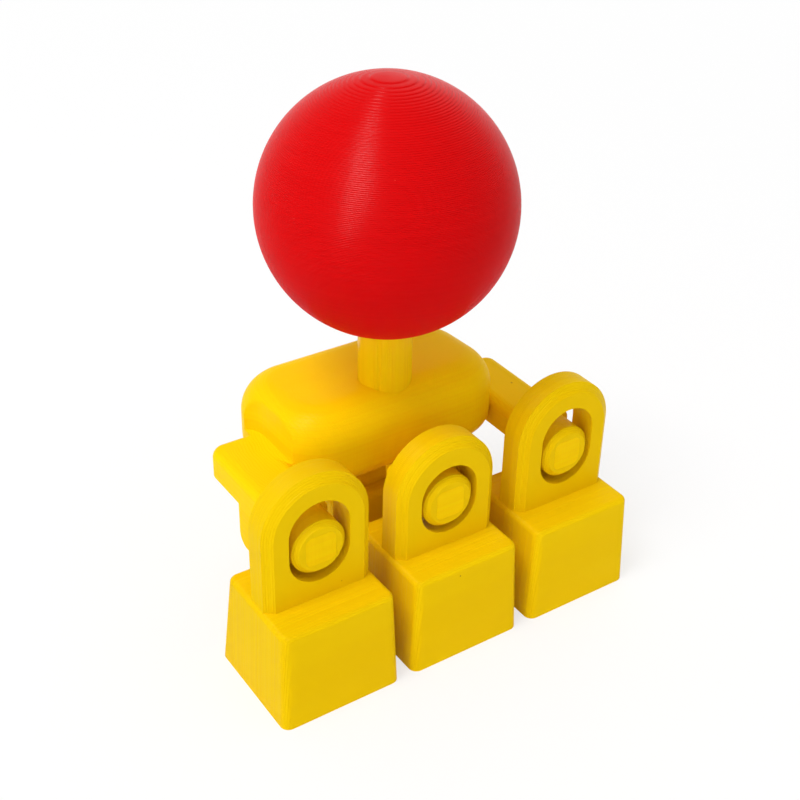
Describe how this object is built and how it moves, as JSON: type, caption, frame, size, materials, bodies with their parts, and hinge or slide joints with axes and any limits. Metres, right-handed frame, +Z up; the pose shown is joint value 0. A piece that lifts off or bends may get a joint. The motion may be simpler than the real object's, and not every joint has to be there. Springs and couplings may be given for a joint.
{
  "type": "keyboard joystick",
  "caption": "Ball-topped stick on a rounded hub whose pegs run in slotted lugs on key caps, so that tilting the stick presses a keyboard's arrow keys.",
  "frame": {"origin": "centre of the bounding box on the plane of the caps' rims", "axes": "+Z up along the stick, +X towards the right key, +Y from the front row towards the up key"},
  "size_m": [0.0552, 0.037, 0.072],
  "materials": {
    "yellow_plastic": "satin, with fine print layers",
    "red_plastic": "satin, with fine level print layers"
  },
  "bodies": {
    "stick": {"hub_body": "yellow_plastic", "stick_shaft": "yellow_plastic", "ball_top": "red_plastic", "up_cap": "yellow_plastic", "left_collar": "yellow_plastic", "front_collar": "yellow_plastic", "right_collar": "yellow_plastic"},
    "left_key": {"left_cap": "yellow_plastic"},
    "front_key": {"front_cap": "yellow_plastic"},
    "right_key": {"right_cap": "yellow_plastic"}
  },
  "joints": [
    {"name": "left_key_slide", "type": "slide", "parent": "stick", "child": "left_key", "axis": [0, 0, 1], "range_m": [-0.0028, 0.0003]},
    {"name": "front_key_slide", "type": "slide", "parent": "stick", "child": "front_key", "axis": [0, 0, 1], "range_m": [-0.00135, 0.00055]},
    {"name": "right_key_slide", "type": "slide", "parent": "stick", "child": "right_key", "axis": [0, 0, 1], "range_m": [-0.0028, 0.0003]}
  ]
}
